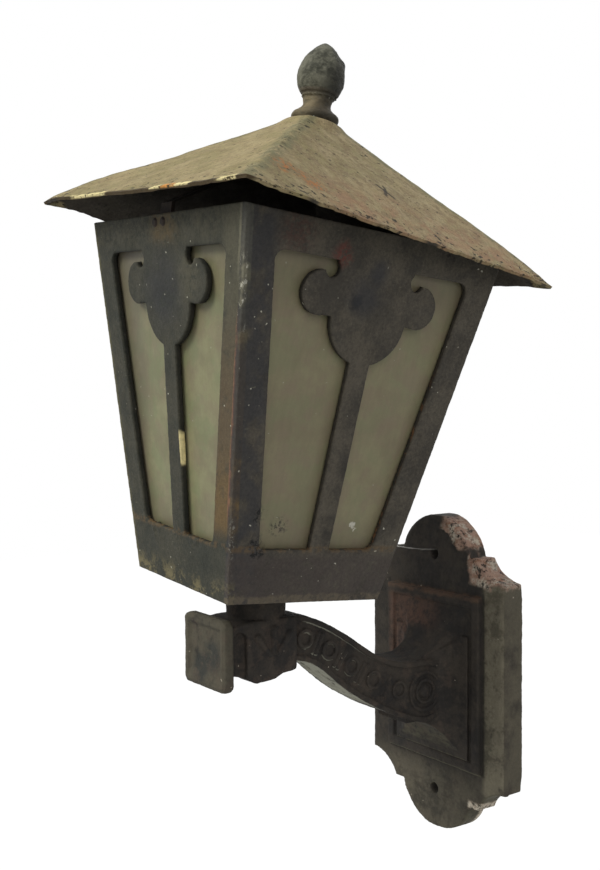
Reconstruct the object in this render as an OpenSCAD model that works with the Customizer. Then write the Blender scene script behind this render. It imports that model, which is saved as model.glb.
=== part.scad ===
// Outdoor wall lantern: a square, flared lantern body with pierced sides and frosted panes,
// carried on a scrolled cast arm. The origin is the middle of the wall plate's back face,
// +Z is up and -Y points away from the wall. The lantern leans and its roof sits crooked.

/* [Lantern body] */
// Height of the body from its bottom edge to its top edge
body_h = 190; // [176:1:200]
// Half width of the body over its bottom edge
body_foot = 47.6; // [46.6:0.2:48.4]
// Half width of the body over its top edge
body_head = 80.5; // [79:0.5:82]
// Thickness of the pierced side plates
plate_t = 3.3; // [3:0.1:3.6]
// Thickness of the frosted panes
pane_t = 3; // [2.6:0.1:3]
// Slack between a side plate and its pane
pane_gap = 1; // [1:0.1:1.3]

/* [Piercing] */
// Height of the bottom rail, measured up the slope
rail_low = 29; // [27:0.5:31]
// Height of the window's top edge, measured up the slope
window_top = 175; // [173:0.5:176.5]
// Half width of the window along its bottom edge
window_foot = 36; // [35:0.5:37]
// Half width of the window along its top edge
window_head = 61; // [60:0.5:62]
// Half width of the middle bar
bar_half = 6; // [5.4:0.2:7]
// Radius of the trefoil's side lobes
lobe_r = 11; // [10:0.2:11.5]
// Radius of the trefoil's lower lobe
drop_r = 23; // [21:0.5:24]

/* [Lean and seat] */
// Middle of the lantern's bottom edge, distance from the wall
reach = 150.3; // [149.5:0.1:151.5]
// Middle of the lantern's bottom edge, height above the origin
seat_z = 68.5; // [67.5:0.1:69.5]
// Lean of the lantern back towards the wall, degrees
lean_back = 4.4; // [3.5:0.05:5]
// Lean of the lantern to its right, degrees
lean_side = 4.6; // [3.5:0.02:5]
// Turn of the lantern about its upright, degrees
lean_turn = 1.22; // [0:0.02:2]

/* [Roof] */
// Half width of the roof over its eaves
eave_half = 100.2; // [98:0.2:102]
// Height of the eaves above the body's bottom edge
eave_z = 188.3; // [187.5:0.1:189.5]
// Slope of the roof, degrees
roof_slope = 36.03; // [35.5:0.01:36.5]
// Half width of the small level top that the finial stands on
cap_half = 11; // [10:0.2:12]
// Upright thickness of the roof sheet
sheet_v = 1.8; // [1.6:0.1:2]
// Tip of the roof back towards the wall, on top of the body's lean, degrees
roof_back = 5.04; // [4:0.02:5.4]
// Tip of the roof to its right, degrees
roof_side = 0.88; // [0:0.02:1.5]
// Turn of the roof on the body, degrees
roof_turn = 2.29; // [0:0.01:2.5]

/* [Finial] */
// Height of the finial
finial_h = 43.9; // [42:0.1:46]
// Radius of the finial's collar
collar_r = 13; // [12.4:0.1:13.4]
// Radius of the finial's egg
egg_r = 12.9; // [12:0.1:13.4]
// Radius of the stud that the finial turns on
stud_r = 3; // [2.9:0.05:3]
// Room between the stud and the finial's bore, on the radius
turn_room = 0.06; // [0.04:0.01:0.08]
// Lean of the stud back towards the wall, on top of the body's lean, degrees
stud_back = 2.8; // [2:0.1:3.2]

/* [Wall plate] */
// Half width of the wall plate
wall_half = 58.7; // [57.5:0.1:59.5]
// Thickness of the wall plate
wall_t = 15.6; // [15:0.1:17]
// Radius of the round lobes above and below
wall_lobe_r = 30.4; // [29:0.2:31.2]
// Height of the lobes' centres above and below the middle
wall_lobe_z = 68; // [67:0.5:69]
// Distance between the two screw holes
screw_pitch = 148; // [146:1:150]
// Diameter of the screw holes
screw_d = 7; // [6:0.5:8]
// Wall left round the hollow in the plate's back
rim_w = 7; // [6:0.5:8]

/* [Arm] */
// Half thickness of the arm at the lantern end
arm_half = 12.7; // [12:0.1:13.5]
// Taper of each side of the arm, degrees
arm_taper = 1.9; // [1:0.1:2.2]
// Height of the relief on the arm's sides
relief_h = 1.8; // [1.2:0.1:2]
// Half thickness of the corbel under the lantern
corbel_half = 16.5; // [16:0.1:17]
// Half height of the end block
block_half = 19.2; // [18.5:0.1:20]
// Half width of the end block
block_wide = 20.8; // [20:0.1:21.5]
// Front face of the end block, distance from the wall
block_y = 184.3; // [183.5:0.1:185.2]

/* [Hidden] */

flare = atan((body_head - body_foot) / body_h);
slant_h = body_h / cos(flare);
inner_drop = plate_t / cos(flare);
roof_rise = (eave_half - cap_half) * tan(roof_slope);
cap_z = eave_z + roof_rise;
roof_x = -0.6;
roof_y = -0.9;
stud_x = 1;
stud_y = 5.7;
finial_seat = 0.6;
strap_turn = 2.8;
strap_half = 6.2;
screw_z = screw_pitch / 2;
iron = "#3a352f";
dark_steel = "#4a443c";
frost = "#9a9a80";
brass = "#b08d4a";

function arc(x, y, r, a, b, n = 6) =
    [for (i = [0:n]) [x + r * cos(a + (b - a) * i / n), y + r * sin(a + (b - a) * i / n)]];
function curve(a, b, c, d, n = 8) =
    [for (i = [0:n]) let (t = i / n, s = 1 - t)
        s * s * s * a + 3 * s * s * t * b + 3 * s * t * t * c + t * t * t * d];
function rest(list) = [for (i = [1:len(list) - 1]) list[i]];
function backwards(list) = [for (i = [len(list) - 1:-1:0]) list[i]];
function along(list, i) = list[min(i + 1, len(list) - 1)] - list[max(i - 1, 0)];
function beside(list, d) =
    [for (i = [0:len(list) - 1]) let (s = along(list, i)) list[i] + d * [-s.y, s.x] / norm(s)];

// Frames of reference: everything above the arm leans with the lantern

module on_lantern() {
    translate([0, -reach, seat_z]) rotate([-lean_back, lean_side, -lean_turn]) children();
}

module on_roof() {
    on_lantern() translate([roof_x, roof_y, eave_z]) rotate([-roof_back, roof_side, roof_turn]) children();
}

module on_stud() {
    on_lantern() translate([stud_x, stud_y, cap_z + finial_seat]) rotate([-stud_back, 0, 0]) children();
}

module on_strap() {
    on_lantern() translate([stud_x, stud_y, 0]) rotate([0, 0, -strap_turn]) children();
}

// Side k of the body, 0 to the front and on to the right, with x across it, y up its slope
// and z outwards from its face
module on_side(k) {
    rotate([0, 0, 90 * k]) translate([0, -body_foot, 0]) rotate([90 + flare, 0, 0]) children();
}

// x to the wall, y up and z to the right, for profiles of the arm
module sideways() {
    rotate([90, 0, 90]) children();
}

module both_sides() {
    children();
    mirror([1, 0, 0]) children();
}

// Solid through level rings, each [half width, low z, high z, y], from the wall outwards
module stack(rings) {
    last = len(rings) - 1;
    points = [for (r = rings)
        each [[-r[0], r[3], r[1]], [r[0], r[3], r[1]], [r[0], r[3], r[2]], [-r[0], r[3], r[2]]]];
    walls = [for (k = [0:last - 1], j = [0:3]) let (a = 4 * k, e = (j + 1) % 4)
        [a + j, a + 4 + j, a + 4 + e, a + e]];
    polyhedron(points, concat([[0, 1, 2, 3]], walls, [[for (j = [3:-1:0]) 4 * last + j]]));
}

// Wall bracket: plate, arm, corbel, boss and end block in one casting

cove_r = 24.5;
cove_z = 86.6;
step_z = 75.8;

module wall_outline(inset = 0) {
    difference() {
        square([2 * (wall_half - inset), 2 * (step_z - inset)], center = true);
        for (x = [-1, 1], z = [-1, 1]) translate([x * wall_half, z * cove_z]) circle(cove_r + inset, $fn = 64);
    }
    for (z = [-1, 1]) translate([0, z * wall_lobe_z]) circle(wall_lobe_r - inset, $fn = 64);
}

module wall_slab(from, to, inset) {
    translate([0, -from, 0]) rotate([90, 0, 0]) linear_extrude(to - from) wall_outline(inset);
}

edge_r = 2.4;
edge_steps = 4;

module wall_plate() {
    wall_slab(0, wall_t - edge_r, 0);
    for (i = [0:edge_steps - 1]) let (a = 90 * i / edge_steps, b = 90 * (i + 1) / edge_steps)
        wall_slab(wall_t - edge_r - 0.01, wall_t - edge_r + edge_r * sin(b), edge_r * (1 - cos(a / 2 + b / 2)));
}

panel_half = 41.2;
panel_low = -55;
panel_high = 51.4;
panel_y = -wall_t - 3.2;
band = 6;

module raised_panel() {
    stack([[panel_half, panel_low, panel_high, -wall_t + 1],
        [panel_half, panel_low, panel_high, panel_y + 0.9],
        [panel_half - 0.9, panel_low + 0.9, panel_high - 0.9, panel_y]]);
}

module sunk_field() {
    stack([[panel_half - band - 1, panel_low + band + 1, panel_high - band - 1, panel_y + 1.6],
        [panel_half - band, panel_low + band, panel_high - band, panel_y - 0.1]]);
}

flare_out = 33;
flare_steps = 10;
root_half = 13;
root_low = -24;
root_high = 12;

// Concave foot through level rings, from its base on the panel to the arm's root
module foot(wide, low, high, base_y, fall) {
    stack([for (i = [0:flare_steps]) let (a = 90 * i / flare_steps, s = 1 - sin(a))
        [root_half + (wide - root_half) * s * s, root_low + (low - root_low) * pow(s, fall),
            root_high + (high - root_high) * s, base_y - flare_out * (1 - cos(a))]]);
}

// The arm's root spreads over the sunk field, and below over the panel's whole rim
module arm_flare() {
    inner = band + 1;
    foot(panel_half - inner, panel_low + inner, panel_high - inner, panel_y + 2, 1);
    foot(panel_half - 0.2, panel_low + 0.2, 29, panel_y + 0.8, 1.2);
}

knee = [-86.8, 28.8];
elbow = [-98, 5];
top_line = concat(
    curve([-138, 52], [-121, 51.5], [-101, 39], knee),
    rest(curve(knee, [-76, 21], [-62, 13.5], [-46, 12.8])));
low_line = concat(
    curve([-138, 26], [-118, 26], [-112, 15], elbow),
    rest(curve(elbow, [-84, -5.5], [-62, -18.5], [-40, -24.5])));
eye = [-37, -6];
eye_r = 18.7;
border = 3;

module arm_profile() {
    polygon(concat(top_line, [[-37, 12.7], [-37, -24.7]], backwards(low_line)));
    translate(eye) circle(eye_r, $fn = 64);
}

// Frame whose side face tapers outwards towards the wall
module tapered() {
    both_sides() translate([0, -134, 0]) rotate([0, 0, -arm_taper]) translate([0, 134, 0])
        sideways() children();
}

module arm_border() {
    polygon(concat(top_line, [[-37, 12.7], [-37, 12.7 - border]], backwards(beside(top_line, -border))));
    polygon(concat(low_line, [[-37, -24.7], [-37, -24.7 + border]], backwards(beside(low_line, border))));
    intersection() {
        translate(eye) difference() {
            circle(eye_r, $fn = 64);
            circle(eye_r - border, $fn = 64);
        }
        translate([-37, -40]) square(80);
    }
}

function middle(i) = (top_line[i] + low_line[i]) / 2;
function heading(i) = let (d = along(top_line, i) + along(low_line, i)) atan2(d.y, d.x);

module ring(r, wall, h) {
    linear_extrude(h) difference() {
        circle(r, $fn = 32);
        circle(r - wall, $fn = 32);
    }
}

// Running relief: rings with pairs of reeds between them, ending in a rosette
module arm_relief() {
    level = arm_half - relief_h;
    for (i = [2, 5, 8, 11, 14]) translate(middle(i)) ring(5.6, 2, arm_half - 0.3);
    for (i = [3.5, 6.5, 9.5, 12.5]) let (k = floor(i), at = (middle(k) + middle(k + 1)) / 2)
        translate([at.x, at.y, level]) rotate([0, 0, heading(k)]) for (x = [-1.5, 1.5])
            translate([x, 0, 0]) rotate([90, 0, 0]) cylinder(r = 1.2, h = 13, center = true, $fn = 16);
    translate(eye) ring(12.4, 2, arm_half - 0.3);
    translate(eye) ring(7.6, 1.8, arm_half);
    translate([eye.x, eye.y, level - 2]) sphere(4.8, $fn = 32);
}

module arm() {
    core = 8;
    tapered() {
        translate([0, 0, -core]) linear_extrude(core + arm_half - relief_h) arm_profile();
        translate([0, 0, core]) linear_extrude(arm_half - core) arm_border();
        arm_relief();
    }
    sideways() linear_extrude(18, center = true)
        polygon([[-60, 12], [-16, 13], [-16, -25], [-45, -22], [-60, -15]]);
}

corbel_top = 51.5;
corbel_back = -134.5;

module corbel_profile() {
    polygon(concat(
        [[-180, corbel_top - 2], [-166, corbel_top], [corbel_back, corbel_top], [corbel_back, 24]],
        curve([-135, 22.3], [-139, 21], [-141, 21.8], [-144, 21.3], 3),
        curve([-145.5, 20.6], [-150, 17.6], [-156, 18.6], [-161, 17.9], 5),
        curve([-161.5, 18], [-166, 19.5], [-169, 23.6], [-180, 23.4], 5)));
}

flute_y = -171.8;
flute_r = 4.8;

module corbel() {
    difference() {
        sideways() linear_extrude(2 * corbel_half, center = true) corbel_profile();
        both_sides() translate([corbel_half - 3.2, 0, 0]) sideways() {
            translate([flute_y, 42, 0]) cylinder(r = flute_r, h = 10, $fn = 32);
            translate([flute_y - flute_r, 10, 0]) cube([2 * flute_r, 32, 10]);
        }
    }
    both_sides() for (a = [-38, 0, 38]) translate([corbel_half - 0.5, -150, 29])
        rotate([-a, 0, 0]) translate([0, 0, 3]) {
            cylinder(r1 = 1.6, r2 = 2.4, h = 14, $fn = 24);
            translate([0, 0, 14]) sphere(2.4, $fn = 24);
        }
}

block_z = 35.2;
block_t = 6.2;
block_corner = 4.5;
block_soft = 2.2;

// Block outline with round corners, drawn in by inset
module block_outline(inset) {
    w = block_wide - inset;
    h = block_half - inset;
    r = block_corner - inset;
    square([2 * (w - r), 2 * h], center = true);
    square([2 * w, 2 * (h - r)], center = true);
    for (x = [-1, 1], z = [-1, 1]) translate([x * (w - r), z * (h - r)]) circle(r, $fn = 32);
}

module block_slab(from, to, inset) {
    translate([0, -from, block_z]) rotate([90, 0, 0]) linear_extrude(to - from) block_outline(inset);
}

// End block: a thick slab with soft edges and a shallow sunk face
module end_block() {
    soft = block_y - block_soft;
    difference() {
        union() {
            block_slab(block_y - block_t, block_y - block_t + 1, 0.8);
            block_slab(block_y - block_t + 0.8, soft, 0);
            for (i = [0:edge_steps - 1]) let (a = 90 * i / edge_steps, b = 90 * (i + 1) / edge_steps)
                block_slab(soft - 0.01, soft + block_soft * sin(b), block_soft * (1 - cos(a / 2 + b / 2)));
        }
        stack([[block_wide - 6, block_z - block_half + 9, block_z + block_half - 6, 1.5 - block_y],
            [block_wide - 4, block_z - block_half + 4.2, block_z + block_half - 4, -0.1 - block_y]]);
    }
}

boss_r = 16.4;
boss_y = -150.5;
nipple_r = 5;
way_r = 4.5;

module boss() {
    difference() {
        union() {
            translate([0, boss_y, 44]) cylinder(r = boss_r, h = 40, $fn = 64);
            translate([0, boss_y, corbel_top - 0.5]) cylinder(r1 = boss_r + 0.1, r2 = boss_r, h = 1.2, $fn = 64);
        }
        on_lantern() translate([-60, -60, 0]) cube(120);
    }
}

// Cored way for the wires: up the arm from the back of the plate to the nipple's thread
module wire_way() {
    translate([0, 1, -5]) rotate([90, 0, 0]) cylinder(r = way_r, h = 65, $fn = 32);
    translate([0, -59, -5.5]) rotate([52.5, 0, 0]) cylinder(r = way_r, h = 72, $fn = 32);
    translate([0, -112, 37]) rotate([90, 0, 0]) cylinder(r = way_r, h = 42, $fn = 32);
    on_lantern() translate([0, 0, -36]) cylinder(r = way_r, h = 30, $fn = 32);
    on_lantern() translate([0, 0, -14]) cylinder(r = nipple_r, h = 20, $fn = 48);
}

hollow_d = wall_t - 6;

module back_hollow() {
    difference() {
        translate([0, 1, 0]) wall_slab(0, hollow_d + 1, rim_w);
        for (z = [-1, 1]) translate([0, 2, z * screw_z]) rotate([90, 0, 0]) cylinder(r = 8.5, h = wall_t, $fn = 48);
    }
}

module wall_bracket() {
    color(iron) difference() {
        union() {
            wall_plate();
            difference() {
                raised_panel();
                sunk_field();
            }
            arm_flare();
            arm();
            corbel();
            end_block();
            boss();
        }
        back_hollow();
        for (z = [-1, 1]) translate([0, 1, z * screw_z]) rotate([90, 0, 0])
            cylinder(d = screw_d, h = wall_t + 2, $fn = 48);
        wire_way();
    }
}

// Pierced sides and their panes

corner_r = 5;

function window_half(v) =
    window_foot + (window_head - window_foot) * (v - rail_low) / (window_top - rail_low);

module window() {
    lean = atan((window_head - window_foot) / (window_top - rail_low));
    low = rail_low + corner_r;
    high = window_top - corner_r;
    half = concat(
        arc(window_half(low) - corner_r / cos(lean), low, corner_r, -90, -lean, 5),
        arc(window_half(high) - corner_r / cos(lean), high, corner_r, -lean, 90, 5));
    polygon(concat(half, [for (p = backwards(half)) [-p.x, p.y]]));
}

lobe_x = 30.5;
lobe_v = 158.5;
drop_v = 149;
neck_half = 23.5;
notch_r = 4.4;
notch_x = 3;
bar_x = 1;

// Trefoil on its bar, with a round notch where each side lobe meets the neck
module trefoil() {
    half = lobe_r - 0.5;
    difference() {
        union() {
            for (x = [-1, 1]) translate([x * lobe_x, lobe_v]) circle(lobe_r, $fn = 48);
            translate([-lobe_x, lobe_v - half]) square([2 * lobe_x, 2 * half]);
            translate([-neck_half, drop_v + 3]) square([2 * neck_half, window_top - drop_v]);
        }
        for (x = [-1, 1]) translate([x * (neck_half + notch_x), window_top - notch_r]) circle(notch_r, $fn = 32);
    }
    translate([bar_x, drop_v]) circle(drop_r, $fn = 64);
    translate([bar_x - bar_half, rail_low - 1]) square([2 * bar_half, drop_v - rail_low]);
}

module side_face() {
    difference() {
        translate([-body_head - 5, -2]) square([2 * body_head + 10, slant_h + 4]);
        difference() {
            window();
            trefoil();
        }
    }
}

rivet_r = 1.5;
rivet_v = 188.4;
rivet_x = 4.2;
front_foot_x = -3;
back_foot_x = 4.4;

module strap_rivet_places(k) {
    at = k == 0 ? front_foot_x : -back_foot_x;
    for (x = [-1, 1]) translate([at + x * rivet_x, rivet_v, 0]) children();
}

// Side plate k, mitred against its neighbours along the body's corners
module side_plate(k) {
    color(iron) on_lantern() difference() {
        intersection() {
            on_side(k) translate([0, 0, -plate_t]) linear_extrude(plate_t) side_face();
            rotate([0, 0, 90 * k + 225]) cube([200, 200, body_h]);
        }
        if (k % 2 == 0) on_side(k) strap_rivet_places(k)
            cylinder(r = rivet_r, h = 4 * plate_t, center = true, $fn = 24);
    }
}

pane_low = 22;
pane_high = 182;
pane_in = 9.5;
pane_back = plate_t + pane_gap + pane_t;

module pane(k) {
    function half(v) = body_foot + v * sin(flare) - pane_in;
    color(frost) on_lantern() on_side(k) translate([0, 0, -pane_back]) linear_extrude(pane_t)
        polygon([[-half(pane_low), pane_low], [half(pane_low), pane_low],
            [half(pane_high), pane_high], [-half(pane_high), pane_high]]);
}

clip_w = 8;
clip_t = 0.6;
clip_foot = 6;

// One bent clip with its foot below the pane's edge, or above it where way is -1
module clip(x, edge, way) {
    translate([x - clip_w / 2, edge, 0]) scale([1, way, 1]) {
        translate([0, -1 - clip_foot, -plate_t - clip_t]) cube([clip_w, clip_foot, clip_t]);
        translate([0, -1 - clip_t, -pane_back - clip_t]) cube([clip_w, clip_t, pane_back - plate_t + clip_t]);
        translate([0, -1 - clip_t, -pane_back - clip_t]) cube([clip_w, 4, clip_t]);
    }
}

module glazing_clips() {
    color(dark_steel) on_lantern() for (k = [0:3]) on_side(k) for (x = [-1, 1]) {
        clip(24 * x, pane_low, 1);
        clip(46 * x, pane_high, -1);
    }
}

tray_t = 1.5;
tray_lip = 13.5;

module base_tray() {
    half = body_foot - inner_drop - 0.05;
    color(dark_steel) on_lantern() difference() {
        union() {
            translate([-half, -half, 0]) cube([2 * half, 2 * half, tray_t]);
            for (k = [0:3]) on_side(k) translate([-36, 0, -plate_t - tray_t]) cube([72, tray_lip, tray_t]);
        }
        translate([0, 0, -1]) cylinder(r = nipple_r + 0.2, h = 4, $fn = 48);
        translate([-60, -60, -5]) cube([120, 120, 5]);
    }
}

// Nipple that ties the tray to the boss and carries the lampholder

washer_t = 1.5;
nut_h = 4;
nipple_top = 14;
base_z = 9;

module nut(r, across, h) {
    difference() {
        cylinder(r = across / 2 / cos(30), h = h, $fn = 6);
        translate([0, 0, -1]) cylinder(r = r, h = h + 2, $fn = 32);
    }
}

module tube(outer, inner, low, high) {
    translate([0, 0, low]) difference() {
        cylinder(r = outer, h = high - low, $fn = 48);
        translate([0, 0, -1]) cylinder(r = inner, h = high - low + 2, $fn = 48);
    }
}

module nipple() {
    color(brass) on_lantern() tube(nipple_r - 0.05, 3.6, -13.5, nipple_top);
}

module nipple_washer() {
    color(dark_steel) on_lantern() tube(9, nipple_r + 0.2, tray_t, tray_t + washer_t);
}

module nipple_nut() {
    color(brass) on_lantern() translate([0, 0, tray_t + washer_t]) nut(nipple_r, 14, nut_h);
}

holder_r = 19.5;
mouth_r = 14.8;
holder_top = 52;
floor_z = 22;
holder_screw_x = 12.6;

module holder_base() {
    color(dark_steel) on_lantern() difference() {
        union() {
            translate([0, 0, base_z]) cylinder(r = 16, h = 1.6, $fn = 48);
            translate([0, 0, base_z]) cylinder(r = 8, h = nipple_top - base_z, $fn = 48);
        }
        translate([0, 0, base_z - 1]) cylinder(r = nipple_r, h = 10, $fn = 48);
        for (x = [-1, 1]) translate([x * holder_screw_x, 0, base_z - 1]) cylinder(r = 1.55, h = 4, $fn = 24);
    }
}

module holder_screws() {
    color(brass) on_lantern() for (x = [-1, 1]) translate([x * holder_screw_x, 0, 0]) {
        translate([0, 0, base_z - 1.6]) cylinder(r = 2.8, h = 1.6, $fn = 24);
        translate([0, 0, base_z - 0.1]) cylinder(r = 1.5, h = 9, $fn = 24);
    }
}

module lampholder() {
    low = base_z + 1.6;
    color("ivory") on_lantern() difference() {
        rotate_extrude($fn = 64) polygon([[8.6, low], [holder_r, low], [holder_r, 30], [holder_r - 1.5, 34],
            [holder_r - 1.5, holder_top - 1], [holder_r - 2.5, holder_top], [mouth_r, holder_top],
            [mouth_r, floor_z], [3.4, floor_z], [3.4, 17], [8.6, 17]]);
        for (x = [-1, 1]) translate([x * holder_screw_x, 0, low - 1]) cylinder(r = 1.55, h = 9, $fn = 24);
    }
}

module screw_shell() {
    color(brass) on_lantern() tube(mouth_r - 0.05, mouth_r - 0.65, floor_z + 1, holder_top - 3);
}

module centre_contact() {
    color(brass) on_lantern() translate([0, 3, 0]) rotate([90, 0, 0]) linear_extrude(6)
        polygon([[4.5, floor_z], [11, floor_z], [11, floor_z + 0.8], [6.5, floor_z + 0.8],
            [1.5, floor_z + 4.8], [-3, floor_z + 4.8], [-3, floor_z + 4], [1, floor_z + 4]]);
}

cap_r = 13.7;
cap_low = 30;
cap_high = 55;
globe_r = 29;
globe_z = 102;
tip_r = 4.5;

globe_t = 1;
neck_r = cap_r - 0.7;
neck_low = 42;

function globe(r) = concat(
    curve([neck_r - globe_r + r, cap_high], [neck_r - globe_r + r + 1.2, 68], [r, 78], [r, globe_z], 8),
    arc(0, globe_z, r, 10, 90, 8));

// Glass of the bulb, open at the neck where its cap is cemented on
module bulb() {
    color("whitesmoke") on_lantern() rotate_extrude($fn = 64) polygon(concat(
        [[neck_r, neck_low]], globe(globe_r), backwards(globe(globe_r - globe_t)), [[neck_r - globe_t, neck_low]]));
}

module bulb_cap() {
    tip = floor_z + 4.9;
    wall = 0.65;
    color(brass) on_lantern() rotate_extrude($fn = 64) polygon([[0, tip], [tip_r, tip], [tip_r, tip + 1.4],
        [8, cap_low], [cap_r, cap_low + 2], [cap_r, cap_high], [cap_r - wall, cap_high],
        [cap_r - wall, cap_low + 4], [0, cap_low + 4]]);
}

// Roof and what holds it: a bridging strap, a stud through the roof, and the finial on top

strap_t = 2;
strap_foot_z = 184;
strap_knee_z = 196;
strap_flat_z = 236;
foot_gap = 0.55;

function wall_in(z) = body_foot + z * tan(flare) - inner_drop - foot_gap;

module roof_strap() {
    front = -wall_in(strap_foot_z) - stud_y;
    back = wall_in(strap_foot_z) - stud_y;
    step = (body_h - strap_foot_z) * tan(flare);
    path = [[front, strap_foot_z], [front - step, body_h], [front - step, strap_knee_z],
        [-14, strap_flat_z], [14, strap_flat_z],
        [back + step, strap_knee_z], [back + step, body_h], [back, strap_foot_z]];
    lower = [for (p = path) p + [p.x < 0 ? strap_t : -strap_t, 0]];
    inner = concat([for (i = [0:2]) lower[i]], [[-13, strap_flat_z - strap_t], [13, strap_flat_z - strap_t]],
        [for (i = [5:7]) lower[i]]);
    color(dark_steel) difference() {
        on_strap() sideways() linear_extrude(2 * strap_half, center = true)
            polygon(concat(path, backwards(inner)));
        on_stud() cylinder(r = stud_r + 0.6, h = 80, center = true, $fn = 32);
        on_lantern() for (k = [0, 2]) on_side(k) strap_rivet_places(k)
            cylinder(r = rivet_r, h = 16, center = true, $fn = 24);
    }
}

module strap_rivets() {
    color(dark_steel) on_lantern() for (k = [0, 2]) on_side(k) strap_rivet_places(k) {
        translate([0, 0, -plate_t - 3.4]) cylinder(r = rivet_r - 0.05, h = plate_t + 3.4, $fn = 24);
        cylinder(r1 = 2.4, r2 = 1.5, h = 0.9, $fn = 24);
    }
}

bore_h = 18.5;
stud_low = cap_z + finial_seat - strap_flat_z + strap_t + 6;

module stud() {
    color(dark_steel) on_stud() translate([0, 0, -stud_low]) cylinder(r = stud_r, h = stud_low + bore_h - 1, $fn = 48);
}

module strap_nuts() {
    above = strap_flat_z - cap_z - finial_seat;
    color(dark_steel) on_stud() {
        translate([0, 0, above + 0.4]) nut(stud_r + 0.05, 10, nut_h);
        translate([0, 0, above - strap_t - 0.4 - nut_h]) nut(stud_r + 0.05, 10, nut_h);
    }
}

roof_washer_top = -3.4;
roof_washer_t = 1.4;

module roof_washer() {
    color(dark_steel) on_stud() tube(10, stud_r + 0.2, roof_washer_top - roof_washer_t, roof_washer_top);
}

module roof_nut() {
    color(dark_steel) on_stud() translate([0, 0, roof_washer_top - roof_washer_t - nut_h])
        nut(stud_r + 0.05, 10, nut_h);
}

eave_edge = 1.2;

module pyramid(foot, head, h) {
    rotate([0, 0, 45]) cylinder(r1 = foot * sqrt(2), r2 = head * sqrt(2), h = h, $fn = 4);
}

// Hollow pyramid of thin sheet with a level top, pierced for the stud
module roof() {
    run = 1 / tan(roof_slope);
    color("#8a8060") difference() {
        on_roof() difference() {
            union() {
                pyramid(eave_half, cap_half, roof_rise);
                translate([-eave_half, -eave_half, -eave_edge]) cube([2 * eave_half, 2 * eave_half, eave_edge]);
            }
            translate([0, 0, -sheet_v - 4])
                pyramid(eave_half + 4 * run, cap_half, roof_rise + 4);
        }
        on_stud() cylinder(r = stud_r + 1.2, h = 60, center = true, $fn = 48);
    }
}

// Turned finial: collar, neck, bead and a slightly pointed egg, with a blind bore for the stud
module finial() {
    side = concat(
        [[0, 0], [collar_r - 0.9, 0]],
        arc(collar_r - 2.4, 2.4, 2.4, -50, 60, 5),
        curve([collar_r - 1.7, 4.9], [9.6, 6.2], [7.5, 7.4], [7.5, 9.6], 5),
        curve([7.5, 9.6], [7.5, 11.2], [8.4, 12], [9.3, 12.5], 4),
        arc(9.2, 13.4, 0.9, -80, 80, 4),
        curve([9.5, 14.5], [11.8, 17.2], [egg_r + 0.3, 21], [egg_r, 26], 7),
        curve([egg_r, 26], [egg_r - 0.6, 33], [7, 40], [0, finial_h], 9));
    color(iron) on_stud() difference() {
        rotate_extrude($fn = 64) polygon(side);
        translate([0, 0, -1]) cylinder(r = stud_r + turn_room, h = bore_h + 1, $fn = 48);
    }
}

// Tie wire: one strand from the upper screw hole to the back of the lantern, round the middle
// bar of its back plate and home again

wire_r = 0.2;
wire_sides = 8;
wire_route = [[1.6, -7, 76.85], [1.6, -15.9, 76.85], [1.85, -20, 77.01], [2.48, -28, 77.74],
    [3.55, -40, 79.54], [4.71, -52, 81.99], [6.13, -66, 85.53], [7.61, -80, 89.73], [9.2, -94.5, 94.7],
    [9.2, -96.45, 95.1], [9.15, -97.7, 95.45], [8.9, -98.65, 95.7], [8.3, -98.95, 95.85],
    [2.35, -98.8, 96.3], [-3.65, -98.7, 96.8], [-4.25, -98.4, 96.75], [-4.5, -97.4, 96.55],
    [-4.55, -96.15, 96.2], [-4.55, -94.3, 95.45], [-3.94, -80, 90.33], [-3.36, -66, 85.94],
    [-2.81, -52, 82.23], [-2.36, -40, 79.67], [-1.94, -28, 77.79], [-1.7, -20, 77.02],
    [-1.6, -15.9, 76.85], [-1.6, -7, 76.85]];

function unit(v) = v / norm(v);
function wire_way_at(i) =
    unit(wire_route[min(i + 1, len(wire_route) - 1)] - wire_route[max(i - 1, 0)]);

module tie_wire() {
    n = wire_sides;
    last = len(wire_route) - 1;
    points = [for (i = [0:last])
        let (t = wire_way_at(i), a = unit(cross(t, [0.1, 0.2, 1])), b = cross(t, a))
        for (j = [0:n - 1]) wire_route[i] + wire_r * (cos(360 * j / n) * a + sin(360 * j / n) * b)];
    walls = [for (i = [0:last - 1], j = [0:n - 1]) let (e = (j + 1) % n)
        [n * i + j, n * i + e, n * i + n + e, n * i + n + j]];
    color("#b5b0a4") polyhedron(points, concat([[for (j = [n - 1:-1:0]) j]], walls,
        [[for (j = [0:n - 1]) n * last + j]]));
}

wall_bracket();
side_plate(0);  // side_front
side_plate(1);  // side_right
side_plate(2);  // side_back
side_plate(3);  // side_left
pane(0);  // pane_front
pane(1);  // pane_right
pane(2);  // pane_back
pane(3);  // pane_left
glazing_clips();
base_tray();
nipple();
nipple_washer();
nipple_nut();
holder_base();
holder_screws();
lampholder();
screw_shell();
centre_contact();
bulb_cap();
bulb();
roof_strap();
strap_rivets();
stud();
strap_nuts();
roof_nut();
roof_washer();
roof();
finial();
tie_wire();
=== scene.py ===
import math

import bpy
from mathutils import Euler, Matrix, Vector


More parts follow.
